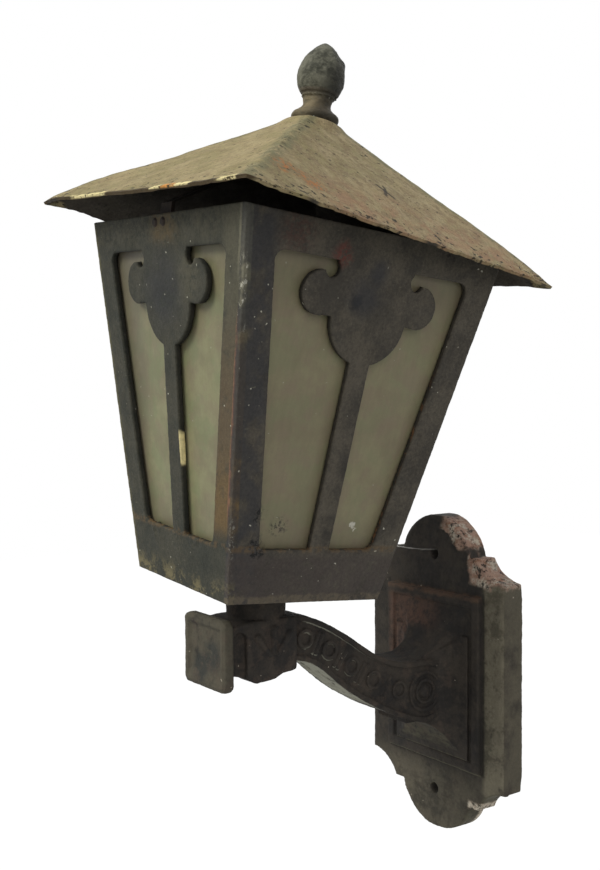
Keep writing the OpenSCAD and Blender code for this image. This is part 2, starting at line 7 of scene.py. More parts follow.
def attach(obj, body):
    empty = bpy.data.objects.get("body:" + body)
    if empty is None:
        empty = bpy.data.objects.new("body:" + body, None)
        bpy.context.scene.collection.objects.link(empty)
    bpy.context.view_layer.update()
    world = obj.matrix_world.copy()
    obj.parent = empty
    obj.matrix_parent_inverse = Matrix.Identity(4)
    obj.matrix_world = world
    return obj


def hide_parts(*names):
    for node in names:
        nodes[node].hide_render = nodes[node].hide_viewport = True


# Weathered wall lantern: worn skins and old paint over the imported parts
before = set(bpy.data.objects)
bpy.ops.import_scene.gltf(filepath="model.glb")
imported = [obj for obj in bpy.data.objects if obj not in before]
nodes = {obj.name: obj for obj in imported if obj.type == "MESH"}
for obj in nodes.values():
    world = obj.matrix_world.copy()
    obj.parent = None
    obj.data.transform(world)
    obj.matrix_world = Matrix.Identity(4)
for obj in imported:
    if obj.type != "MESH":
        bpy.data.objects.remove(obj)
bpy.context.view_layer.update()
print("frame loaded:", len(nodes), "nodes")

mm = 0.001
lanternPose = {"seat": (0, -150.3, 68.5), "turn": (-4.4, 4.6, -1.22)}  # mm, degrees
roofPose = {"seat": (-0.6, -0.9, 188.3), "turn": (-5.04, 0.88, 2.29)}  # on the leaning lantern
studPose = {"seat": (1, 5.7, 253.78), "turn": (-2.8, 0, 0)}
body = {"foot": 47.6, "head": 80.5, "height": 190}  # half widths of the flared sides


def placed(offset, turn):
    leaning = Euler([math.radians(angle) for angle in turn], "XYZ").to_matrix().to_4x4()
    return Matrix.Translation(Vector(offset)) @ leaning


lanternSpace = placed(lanternPose["seat"], lanternPose["turn"])
roofSpace = lanternSpace @ placed(roofPose["seat"], roofPose["turn"])
studSpace = lanternSpace @ placed(studPose["seat"], studPose["turn"])


def clearSelection():
    if bpy.context.object and bpy.context.object.mode != "OBJECT":
        bpy.ops.object.mode_set(mode="OBJECT")
    bpy.ops.object.select_all(action="DESELECT")


def pick(piece):
    clearSelection()
    piece.select_set(True)
    bpy.context.view_layer.objects.active = piece


def applyModifier(piece, kind, **settings):
    pick(piece)
    tool = piece.modifiers.new(kind.lower(), kind)
    for name, value in settings.items():
        setattr(tool, name, value)
    bpy.ops.object.modifier_apply(modifier=tool.name)


def freeze(piece):
    pick(piece)
    bpy.ops.object.transform_apply(location=True, rotation=True, scale=True)


view = {
    "place": (0.4901, -0.4813, 0.1665), "ahead": (-0.8045, 0.5933, -0.0269),
    "across": (0.5936, 0.8048, -0.0027), "lens": 44.46, "sensor": 36, "nearest": 0.01,
}


def makeCamera():
    ahead = Vector(view["ahead"]).normalized()
    across = Vector(view["across"]).normalized()
    up = across.cross(ahead)
    clearSelection()
    bpy.ops.object.camera_add(location=view["place"])
    camera = bpy.context.object
    camera.name = "photoCamera"
    camera.rotation_euler = Matrix((across, up, -ahead)).transposed().to_euler()
    camera.data.lens = view["lens"]
    camera.data.sensor_fit = "AUTO"
    camera.data.sensor_width = view["sensor"]
    camera.data.clip_start = view["nearest"]
    bpy.context.scene.camera = camera


makeCamera()
print("camera set")


# a wrapped socket takes part in plain arithmetic
class Value:
    def __init__(self, owner, socket):
        self.owner = owner
        self.socket = socket

    def maths(self, operation, *others):
        inputs = dict(enumerate((self, *others)))
        return self.owner.node("ShaderNodeMath", {"operation": operation}, inputs)

    def __add__(self, other):
        return self.maths("ADD", other)

    __radd__ = __add__

    def __mul__(self, other):
        return self.maths("MULTIPLY", other)

    __rmul__ = __mul__

    def __sub__(self, other):
        return self.maths("SUBTRACT", other)

    def __rsub__(self, other):
        return self.owner.node("ShaderNodeMath", {"operation": "SUBTRACT"}, {0: other, 1: self})

    def __abs__(self):
        return self.maths("ABSOLUTE")

    def atLeast(self, other):
        return self.maths("MAXIMUM", other)

    def atMost(self, other):
        return self.maths("MINIMUM", other)

    def fade(self, start, end):  # 0 before start, 1 after end, smooth between
        inputs = {"Value": self, "From Min": start, "From Max": end}
        return self.owner.node("ShaderNodeMapRange", {"interpolation_type": "SMOOTHSTEP"}, inputs)

    def span(self, low, high):  # low to high as this goes from 0 to 1
        return self * (high - low) + low


class Finish:  # one material and the nodes that make it, called f in the paints
    def __init__(self, name, rough=0.8, specular=0.3, metal=0.0):
        self.material = bpy.data.materials.new(name)
        self.material.use_nodes = True
        self.tree = self.material.node_tree
        self.shader = self.tree.nodes["Principled BSDF"]
        self.constant("Roughness", rough)
        self.constant("Metallic", metal)
        self.constant("Specular IOR Level", specular)
        metres = self.node("ShaderNodeTexCoord", {}, {}, "Object")
        self.place = self.vector("SCALE", metres, {"Scale": 1000})

    def constant(self, name, value):
        self.shader.inputs[name].default_value = value

    def node(self, kind, settings, inputs, output=0):
        made = self.tree.nodes.new(kind)
        for name, value in settings.items():
            setattr(made, name, value)
        for name, value in inputs.items():
            if isinstance(value, Value):
                self.tree.links.new(value.socket, made.inputs[name])
            else:
                made.inputs[name].default_value = value
        return Value(self, made.outputs[output])

    def vector(self, operation, first, more, output="Vector"):
        return self.node("ShaderNodeVectorMath", {"operation": operation}, {0: first, **more}, output)

    def within(self, space):  # place in mm in a leaning frame
        turn = space.to_3x3().to_euler("XYZ")
        inputs = {"Vector": self.place, "Location": space.translation[:], "Rotation": turn[:]}
        return self.node("ShaderNodeMapping", {"vector_type": "TEXTURE"}, inputs)

    def parts(self, vector):
        split = self.node("ShaderNodeSeparateXYZ", {}, {0: vector})
        return [Value(self, out) for out in split.socket.node.outputs]

    def join(self, x, y, z):
        return self.node("ShaderNodeCombineXYZ", {}, {0: x, 1: y, 2: z})

    def noise(self, size, detail=4.0, rough=0.6, at=None, warp=0.0):
        inputs = {"Vector": at or self.place, "Scale": 1 / size, "Detail": detail, "Roughness": rough,
                  "Distortion": warp}
        return self.node("ShaderNodeTexNoise", {}, inputs)

    def cells(self, size, at=None):
        inputs = {"Vector": at or self.place, "Scale": 1 / size}
        return self.node("ShaderNodeTexVoronoi", {"feature": "F1"}, inputs)

    def warped(self, size, amount, at=None):  # place pushed about by noise
        start = at or self.place
        cloud = self.node("ShaderNodeTexNoise", {}, {"Vector": start, "Scale": 1 / size, "Detail": 3.0}, 1)
        push = self.vector("SUBTRACT", cloud, {1: (0.5, 0.5, 0.5)})
        return self.vector("ADD", start, {1: self.vector("SCALE", push, {"Scale": amount})})

    def spot(self, centre, radius, soft=0.5, at=None):
        away = self.vector("DISTANCE", at or self.place, {1: centre}, "Value")
        return 1 - away.fade(radius * (1 - soft), radius)

    def mix(self, first, second, mask):
        return self.node("ShaderNodeMix", {"data_type": "RGBA"}, {0: mask, 6: first, 7: second}, 2)

    def tone(self, colour, value):  # colour made darker or lighter by a value near 1
        grey = self.join(value, value, value)
        return self.vector("MULTIPLY", colour if isinstance(colour, Value) else colour[:3], {1: grey})

    def facing(self):
        return self.node("ShaderNodeNewGeometry", {}, {}, "Normal")

    def wearEdges(self, low, high):
        return self.node("ShaderNodeNewGeometry", {}, {}, "Pointiness").fade(low, high)

    def finish(self, colour, rough, height, depth):
        self.link("Base Color", colour)
        self.link("Roughness", rough)
        inputs = {"Height": height, "Distance": depth * mm, "Strength": 1.0}
        self.link("Normal", self.node("ShaderNodeBump", {}, inputs))
        return self.material

    def link(self, name, value):
        self.tree.links.new(value.socket, self.shader.inputs[name])


def rgb(red, green, blue):  # screen colour 0-255 to a scene colour
    def plain(part):
        part = part / 255
        return part / 12.92 if part <= 0.04045 else ((part + 0.055) / 1.055) ** 2.4
    return (plain(red), plain(green), plain(blue), 1)


def bodyHalf(z):  # half width of the lantern's body at a height above its bottom edge
    return z * ((body["head"] - body["foot"]) / body["height"]) + body["foot"]


ironLook = {
    "frontDark": rgb(47, 49, 43), "frontMid": rgb(66, 65, 56), "sideDark": rgb(61, 58, 52),
    "sideMid": rgb(86, 81, 71), "stileTop": rgb(82, 80, 67), "stileMid": rgb(92, 80, 62),
    "stileLow": rgb(104, 86, 58), "blue": rgb(50, 51, 54), "tan": rgb(94, 82, 60), "pink": rgb(136, 98, 80),
    "red": rgb(96, 56, 48), "rust": rgb(104, 74, 48), "pale": rgb(124, 121, 104),
    "chalk": rgb(196, 194, 178), "cream": rgb(228, 214, 160), "soot": rgb(20, 20, 19),
    "olive": rgb(98, 94, 66), "crust": rgb(118, 110, 82), "purple": rgb(68, 62, 59),
    "footBand": rgb(98, 90, 76), "sillDirt": rgb(104, 84, 58),
}
ironMarks = {  # centre on the leaning lantern in mm, radius, softness
    "paleLobe": ((24, -76, 158), 15, 0.5), "blueTrefoil": ((-2, -76, 152), 27, 0.7),
    "tanRun": ((1, -79, 181), 21, 0.8), "redLead": ((77.6, -23, 175.5), 8.5, 0.8),
    "redTrace": ((78.5, -50, 182), 15, 0.8),
}
sideMarks = (  # colour, centre, radius, softness, strength
    ("soot", (74.3, -8.8, 154.1), 6.5, 0.9, 0.95),
    ("blue", (74.6, -5, 157), 15, 0.9, 0.7),
    ("blue", (77, 1, 170), 9, 0.8, 0.7),
    ("soot", (59.9, 6, 72), 8, 0.9, 0.4),
    ("soot", (54.6, 3.9, 37), 6, 0.8, 0.4),
)
sootSpots = (((55.6, -38.9, 46.3), 6.0), ((54.4, -24.1, 39.3), 6.5), ((52.8, -37.2, 30), 7.0))
ironReach = {  # mm where a mark starts and where it is full
    "face": (3.4, 4.2), "corner": (2.6, 1.1), "beside": (6, 5), "leftEdge": (3.2, 0.8), "stile": (24, 13),
    "sideStile": (21, 12), "pinkLine": 3.6, "pinkWidth": (1.5, 0.5), "chips": (2.6, 1.6),
    "reveal": (0.5, 1.5),
    "underEave": (171, 181), "topRail": (172, 180), "stileFoot": (30, 42), "stileMiddle": (50, 84),
    "stileHead": (96, 158), "pinkFoot": (38, 52), "pinkHead": (146, 128), "cornerFoot": (150, 120),
    "cornerHead": (120, 160), "besideHead": (150, 168), "chipsFoot": (132, 136), "chipsHead": (172, 162),
    "dotsHead": (46, 40), "purpleRail": (30, 22), "sootHead": (179, 185), "crustFoot": (15, 2),
    "footBand": (5.5, 3.5), "sill": 29.2, "sillWidth": (2.6, 0.8), "jambFoot": (140, 90),
    "greyRun": (14, 24), "sootBack": (24, 42), "jambBack": (18, 34),
}
creamFlake = {"across": 9.3, "tilt": 0.03, "width": (0.55, 0.3), "height": 73, "length": (9.5, 7)}


def ironPaint(name):
    look = ironLook
    reach = ironReach
    f = Finish(name, 0.8, 0.25)
    here = f.within(lanternSpace)
    x, y, z = f.parts(here)
    half = bodyHalf(z)
    ragged = f.warped(6, 5, here)
    raggedZ = f.parts(ragged)[2]
    smudged = f.warped(2.5, 5, here)
    fine = f.noise(1.5, 6, 0.72)
    mottle = f.noise(5, 6, 0.7)
    blotch = f.noise(24, 6, 0.65, warp=0.4)
    fromFront = half + y
    fromRight = half - x
    front = 1 - fromFront.fade(*reach["face"])
    right = 1 - fromRight.fade(*reach["face"])
    # two paints, one weathered by the light side and one by the sheltered side
    shade = (blotch * 0.5 + mottle * 0.3 + fine * 0.2).fade(0.4, 0.6)
    sidePaint = f.mix(look["sideDark"], look["sideMid"], shade)
    colour = f.mix(sidePaint, f.mix(look["frontDark"], look["frontMid"], shade), front)
    lobe = front * f.spot(*ironMarks["paleLobe"], ragged) * mottle.fade(0.34, 0.5)
    colour = f.mix(colour, look["stileTop"], lobe * 0.65)
    # painted shade: a soft blue-grey darkening over the upper front trefoil
    trefoilShadeMask = front * f.spot(*ironMarks["blueTrefoil"], ragged) * mottle.fade(0.34, 0.52)
    colour = f.mix(colour, look["blue"], trefoilShadeMask * 0.6)
    topRail = front * z.fade(*reach["topRail"]) * f.noise(3.2, 6, 0.75).fade(0.42, 0.58)
    colour = f.mix(colour, look["stileTop"], topRail * 0.55)
    edge = front * (half + x).fade(*reach["leftEdge"])
    colour = f.mix(colour, look["olive"], edge * mottle.fade(0.34, 0.54) * 0.8)
    # front right stile: brown below, grey green above, with a thin pink line beside the corner
    stile = front * fromRight.fade(*reach["stile"]) * raggedZ.fade(*reach["stileFoot"])
    tint = f.mix(look["stileLow"], look["stileMid"], raggedZ.fade(*reach["stileMiddle"]))
    tint = f.mix(tint, look["stileTop"], raggedZ.fade(*reach["stileHead"]))
    colour = f.mix(colour, tint, stile * f.noise(9, 5, 0.65).fade(0.24, 0.5) * 0.9)
    line = front * abs(fromRight - reach["pinkLine"]).fade(*reach["pinkWidth"])
    line = line * z.fade(*reach["pinkFoot"]) * z.fade(*reach["pinkHead"])
    colour = f.mix(colour, look["pink"], line * mottle.fade(0.3, 0.55) * 0.7)
    # tan and grey runs below the eave
    run = f.noise(5, 4, 0.65, at=f.join(x, y, z * 0.22))
    head = front * z.fade(*reach["underEave"])
    tanRun = head * f.spot(*ironMarks["tanRun"], ragged) * mottle.fade(0.34, 0.56)
    colour = f.mix(colour, look["tan"], tanRun * 0.85)
    greyRun = head * run.fade(0.48, 0.66) * x.fade(*reach["greyRun"])
    colour = f.mix(colour, look["stileTop"], greyRun * 0.7)
    # corner: a painted highlight as a pale strip along the arris above and beside it on the front, chipped
    # to white, spotted with white near the foot
    corner = (fromFront.atLeast(0) + fromRight.atLeast(0)).fade(*reach["corner"])
    colour = f.mix(colour, look["pale"], corner * raggedZ.fade(*reach["cornerHead"]) * 0.85)
    beside = front * fromRight.fade(*reach["beside"]) * raggedZ.fade(*reach["besideHead"])
    colour = f.mix(colour, look["pale"], beside * 0.5)
    colour = f.mix(colour, look["stileMid"], corner * z.fade(*reach["cornerFoot"]) * 0.7)
    chips = right * fromFront.fade(*reach["chips"])
    chips = chips * z.fade(*reach["chipsFoot"]) * z.fade(*reach["chipsHead"])
    strip = f.noise(2.4, 5, 0.8, at=f.join(x, y, z * 0.35)).fade(0.56, 0.6)
    colour = f.mix(colour, look["chalk"], chips * strip)
    dots = corner * z.fade(*reach["dotsHead"]) * f.noise(1.7, 4, 0.8).fade(0.54, 0.6)
    colour = f.mix(colour, look["chalk"], dots * 0.9)
    # side faces: blue-black stile, red lead patches, round marks, soot, and painted shade under the eave
    sideStile = right * fromFront.fade(*reach["sideStile"]) * f.noise(13, 4, 0.6).fade(0.34, 0.54)
    colour = f.mix(colour, look["blue"], sideStile * 0.7)
    bare = f.noise(2.4, 5, 0.75).fade(0.43, 0.53)
    colour = f.mix(colour, look["red"], f.spot(*ironMarks["redLead"], ragged) * bare * 0.9)
    colour = f.mix(colour, look["red"], f.spot(*ironMarks["redTrace"], smudged) * bare * 0.28)
    for tintName, centre, radius, soft, strength in sideMarks:
        colour = f.mix(colour, look[tintName], f.spot(centre, radius, soft, smudged) * strength)
    purple = right * z.fade(*reach["purpleRail"]) * mottle.fade(0.32, 0.54)
    colour = f.mix(colour, look["purple"], purple * 0.75)
    sooty = f.noise(2.2, 5, 0.75).fade(0.5, 0.46)
    for centre, radius in sootSpots:
        colour = f.mix(colour, look["soot"], f.spot(centre, radius, 0.4, smudged) * sooty)
    # painted shade: the top of the right face darkened under the eave, more towards the back
    eaveShade = y.fade(*reach["sootBack"]) * right * z.fade(*reach["sootHead"]) * mottle.fade(0.52, 0.6)
    colour = f.mix(colour, look["soot"], eaveShade * 0.7)
    # bottom edges: tan crust along the front, lighter band on the right
    foot = z.fade(*reach["crustFoot"]) * f.noise(7, 6, 0.75).fade(0.47, 0.6)
    colour = f.mix(colour, look["crust"], foot * front * 0.85)
    band = right * raggedZ.fade(*reach["footBand"]) * mottle.fade(0.36, 0.56)
    colour = f.mix(colour, look["footBand"], band * 0.8)
    # dirt and rust lying in the openings, and painted shade darkening the openings' inner faces
    depth = half - abs(x).atLeast(abs(y))
    # painted shade: the inner faces of the openings darkened to half
    reveal = depth.fade(*reach["reveal"])
    colour = f.tone(colour, reveal.span(1, 0.5))
    sill = abs(z - reach["sill"]).fade(*reach["sillWidth"]) * mottle.fade(0.44, 0.56)
    colour = f.mix(colour, look["sillDirt"], sill * (reveal * 0.4 + 0.55).atMost(1) * 0.85)
    jamb = right * reveal * f.noise(5, 5, 0.75, at=f.join(x, y, z * 0.5)).fade(0.5, 0.58)
    jamb = jamb * y.fade(*reach["jambBack"]) * z.fade(*reach["jambFoot"])
    colour = f.mix(colour, look["rust"], jamb * 0.8)
    flake = abs(x + z * creamFlake["tilt"] - creamFlake["across"]).fade(*creamFlake["width"])
    flake = flake * abs(raggedZ - creamFlake["height"]).fade(*creamFlake["length"])
    colour = f.mix(colour, look["cream"], front * flake)
    # pits, scratches and small white specks everywhere
    colour = f.mix(colour, look["pale"], f.wearEdges(0.54, 0.66) * mottle.fade(0.42, 0.6) * 0.35)
    pits = f.noise(1.5, 4, 0.75, warp=0.8).fade(0.66, 0.72) * f.noise(17, 4, 0.6).fade(0.46, 0.6)
    colour = f.mix(colour, look["soot"], pits * 0.8)
    slanted = f.join(x * 0.3 + z * 0.25, y * 0.3, z * 1.4)
    scratch = f.noise(1.4, 3, 0.6, at=slanted).fade(0.66, 0.72) * f.noise(20, 2, 0.5).fade(0.5, 0.62)
    colour = f.mix(colour, look["pale"], scratch * 0.35)
    specks = f.cells(6.5, ragged).fade(0.09, 0.05) * f.noise(26, 3, 0.6).fade(0.46, 0.54)
    colour = f.mix(colour, look["chalk"], specks * 0.8)
    colour = f.tone(colour, f.noise(2.6, 5, 0.75).span(0.72, 1.28))
    colour = f.tone(colour, fine.span(0.55, 1.45))
    height = fine * 0.7 + f.noise(0.8, 3, 0.7) * 0.3 + mottle * 0.8 - pits
    return f.finish(colour, f.noise(10, 4, 0.6).span(0.62, 0.95), height, 0.5)


castLook = {
    "dark": rgb(38, 36, 34), "mid": rgb(60, 55, 49), "olive": rgb(94, 90, 76), "brown": rgb(100, 77, 66),
    "rust": rgb(90, 71, 58), "under": rgb(96, 93, 76), "lime": rgb(206, 196, 178),
    "mortar": rgb(176, 146, 128), "stain": rgb(134, 92, 66), "soot": rgb(20, 18, 17),
    "strip": rgb(168, 168, 152), "field": rgb(42, 45, 44), "dust": rgb(132, 126, 108),
    "bare": rgb(76, 66, 58),
}
castMarks = {"sunkLow": ((-5, -184, 26), 11, 0.6), "sunkHigh": ((7, -184, 34), 12, 0.6)}
lobeHeight = 68  # middle of each round lobe above or below the wall plate's middle, mm
castReach = {  # mm where a mark starts and where it is full
    "plate": (-23, -20), "margin": (40, 46), "lowMargin": (-50, -70), "marginHead": (70, 56),
    "fieldRight": (16, -14), "fieldLeft": (-41, -36), "fieldHead": (48, 44), "fieldFoot": (-10, 14),
    "ledge": 50.6, "ledgeWidth": (2.8, 0.6), "ledgeEnds": (42, 40), "groove": 42, "grooveWidth": (1.8, 0.4),
    "grooveEnds": (56, 54), "armFoot": (-64, -40), "armFootLow": (-20, -44), "stripFront": (-128, -122),
    "stripBack": (-62, -84), "stripWidth": (13.5, 11), "block": (-176, -179), "lobe": (22.5, 24.5),
    "lobeRight": (4, 12), "lobeHead": (78, 82), "cove": (29, 32), "coveFoot": (57, 61),
    "coveHead": (80, 76),
    "lowerLobe": (27.4, 28.6), "backEdge": (-4.5, -2.5), "notch": (28, 31), "notchHeight": -80,
    "notchLength": (9, 6), "brokenHead": (-72, -75), "stain": -8, "stainDepth": (9, 5),
    "stainAcross": (48, 58),
}


def castPaint(name):
    look = castLook
    reach = castReach
    f = Finish(name, 0.82, 0.25)
    x, y, z = f.parts(f.place)
    facing = f.parts(f.facing())
    ragged = f.warped(6, 5)
    raggedX, _, raggedZ = f.parts(ragged)
    fine = f.noise(1.5, 6, 0.72)
    mottle = f.noise(5, 6, 0.7)
    shade = (f.noise(22, 5, 0.62) * 0.6 + mottle * 0.4).fade(0.4, 0.6)
    colour = f.mix(look["dark"], look["mid"], shade)
    # plate: lighter margins, red-brown panel, and a painted highlight in the rust colour along the ledge
    # over it
    onPlate = y.fade(*reach["plate"])
    margin = (x.fade(*reach["margin"]) + z.fade(*reach["lowMargin"]) * 0.35).atMost(1)
    margin = onPlate * margin * raggedZ.fade(*reach["marginHead"])
    colour = f.mix(colour, look["olive"], margin * f.noise(16, 6, 0.65).fade(0.24, 0.56) * 0.85)
    # pale dust and painted light: the margin's faces towards the lantern painted paler
    dusty = margin * facing[1].fade(-0.6, -0.95) * f.noise(12, 5, 0.65).fade(0.36, 0.56)
    colour = f.mix(colour, look["dust"], dusty * 0.6)
    field = onPlate * x.fade(*reach["fieldRight"]) * x.fade(*reach["fieldLeft"])
    field = field * z.fade(*reach["fieldHead"]) * z.fade(*reach["fieldFoot"])
    colour = f.mix(colour, look["brown"], field * mottle.fade(0.3, 0.6) * 0.75)
    # painted highlight: the ledge along the panel's top lit in the rust colour
    ledge = onPlate * abs(x).fade(*reach["ledgeEnds"])
    ledge = ledge * abs(raggedZ - reach["ledge"]).fade(*reach["ledgeWidth"])
    colour = f.mix(colour, look["rust"], ledge * f.noise(14, 5, 0.7).fade(0.3, 0.56) * 0.8)
    # a dark line along each side of the panel: dirt in the groove and painted shade
    groove = onPlate * abs(abs(x) - reach["groove"]).fade(*reach["grooveWidth"])
    groove = groove * abs(z + 1).fade(*reach["grooveEnds"])
    colour = f.mix(colour, look["soot"], groove * 0.6)
    # painted light from below: the arm's foot and the underside, where they face down, are painted paler,
    # with pale paint on the strip under the arm
    low = facing[2].fade(-0.15, -0.6)
    armFoot = low * y.fade(*reach["armFoot"]) * z.fade(*reach["armFootLow"]) * mottle.fade(0.3, 0.56)
    colour = f.mix(colour, look["under"], armFoot * 0.7)
    strip = low * y.fade(*reach["stripFront"]) * y.fade(*reach["stripBack"])
    strip = strip * abs(x).fade(*reach["stripWidth"])
    colour = f.mix(colour, look["strip"], strip * f.noise(7, 5, 0.65).fade(0.26, 0.5))
    # end block: olive dust round a sunk dark field
    block = y.fade(*reach["block"])
    colour = f.mix(colour, look["olive"], block * f.noise(11, 6, 0.65).fade(0.28, 0.54) * 0.6)
    sunk = (f.spot(*castMarks["sunkLow"], ragged) + f.spot(*castMarks["sunkHigh"], ragged)).atMost(1)
    colour = f.mix(colour, look["field"], block * sunk * mottle.fade(0.28, 0.5) * 0.8)
    colour = f.mix(colour, look["mid"], f.wearEdges(0.54, 0.66) * 0.5)
    # old mortar on the edge of the upper lobe and cove
    roughX, _, roughZ = f.parts(f.warped(8, 11))
    fromLobe = f.vector("LENGTH", f.join(roughX, 0.0, roughZ - lobeHeight), {}, "Value")
    lobe = fromLobe.fade(*reach["lobe"])
    lobe = lobe * roughX.fade(*reach["lobeRight"]) * roughZ.fade(*reach["lobeHead"])
    cove = roughX.fade(*reach["cove"]) * roughZ.fade(*reach["coveFoot"]) * roughZ.fade(*reach["coveHead"])
    crust = onPlate * (lobe + cove).atMost(1) * f.noise(5, 6, 0.75).fade(0.36, 0.44)
    plaster = f.mix(look["mortar"], look["lime"], f.noise(7, 6, 0.72).fade(0.46, 0.6))
    plaster = f.mix(plaster, look["stain"], f.noise(5, 6, 0.75).fade(0.52, 0.62) * 0.7)
    plaster = f.mix(plaster, look["dark"], f.noise(6.5, 6, 0.8, warp=0.4).fade(0.54, 0.59) * 0.9)
    colour = f.mix(colour, plaster, crust)
    # pale broken edge on the lower lobe
    fromLower = f.vector("LENGTH", f.join(raggedX, 0.0, raggedZ + lobeHeight), {}, "Value")
    jagged = y.fade(*reach["backEdge"]) * raggedX.fade(*reach["lobeRight"])
    notch = raggedX.fade(*reach["notch"]) * abs(raggedZ - reach["notchHeight"]).fade(*reach["notchLength"])
    broken = fromLower.fade(*reach["lowerLobe"]) * (jagged + notch).atMost(1)
    broken = broken * raggedZ.fade(*reach["brokenHead"]) * f.noise(3.2, 5, 0.8).fade(0.42, 0.5)
    brokenTint = f.mix(look["lime"], look["stain"], f.noise(4, 5, 0.7).fade(0.5, 0.6) * 0.6)
    colour = f.mix(colour, brokenTint, broken * onPlate)
    # bare iron, rust, specks and pits
    stained = onPlate * abs(y - reach["stain"]).fade(*reach["stainDepth"])
    stained = stained * abs(x).fade(*reach["stainAcross"])
    bare = f.noise(9, 6, 0.7).fade(0.5, 0.62) * (1 - onPlate) + stained * 0.3
    colour = f.mix(colour, look["bare"], bare.atMost(1) * 0.4)
    colour = f.mix(colour, look["rust"], f.noise(8, 6, 0.75).fade(0.62, 0.72) * 0.3)
    specks = f.cells(8, ragged).fade(0.065, 0.04) * f.noise(28, 3, 0.6).fade(0.48, 0.58)
    colour = f.mix(colour, look["lime"], specks * 0.6)
    pits = f.noise(1.6, 4, 0.75, warp=0.8).fade(0.66, 0.72) * f.noise(15, 4, 0.6).fade(0.46, 0.62)
    colour = f.mix(colour, look["soot"], pits * 0.45)
    colour = f.tone(colour, f.noise(9, 6, 0.7).span(0.6, 1.4))
    colour = f.tone(colour, fine.span(0.68, 1.32))
    height = fine * 0.6 + f.noise(0.8, 3, 0.7) * 0.3 + mottle * 0.9 - pits * 0.8
    height = height + crust * f.noise(2, 5, 0.8) * 2
    return f.finish(colour, f.noise(9, 4, 0.6).span(0.66, 0.95), height, 0.6)


roofShape = {"half": 100.2, "slope": 36.03}  # half the eave's length in mm, degrees
roofLook = {
    "tan": rgb(163, 149, 113), "olive": rgb(144, 134, 96), "brown": rgb(122, 106, 80),
    "pink": rgb(154, 116, 92), "orange": rgb(164, 106, 56), "moss": rgb(112, 112, 84),
    "bare": rgb(40, 35, 30), "bright": rgb(240, 226, 170), "amber": rgb(212, 150, 80),
    "under": rgb(70, 65, 56), "edge": rgb(74, 62, 42),
}
roofMarks = {"rustHigh": ((79, -68, 16), 11, 0.7), "rustLow": ((85, -55, 11), 10, 0.7)}
roofReach = {  # mm where a mark starts and where it is full; underside: upward part of the normal
    "slope": (7, 3), "pinkLow": (30, 8), "pinkBack": (-72, -40), "hip": (9, 3), "lowEave": (12, 4),
    "rim": 0.5, "rimWidth": (1.6, 0.9), "lip": (1.4, 0.6), "underside": (-0.64, -0.72),
}
# the scrape is placed from the cross's middle
scratchedCross = {"middle": (66, 4, 25), "turns": (0.75, -0.6), "width": (1.4, 0.5), "length": (7.5, 5.5),
                  "side": (50, 54)}
longScrape = {"rise": 14, "along": 6, "width": (1.8, 0.6), "length": (12, 8), "side": (30, 34)}
wornRuns = (  # along the front eave: middle, reach, colour
    (-46, 22, "bright"), (-88, 7, "edge"), (22, 7, "bright"),
    (36, 6, "amber"), (46, 7, "bright"), (84, 9, "bright"),
)


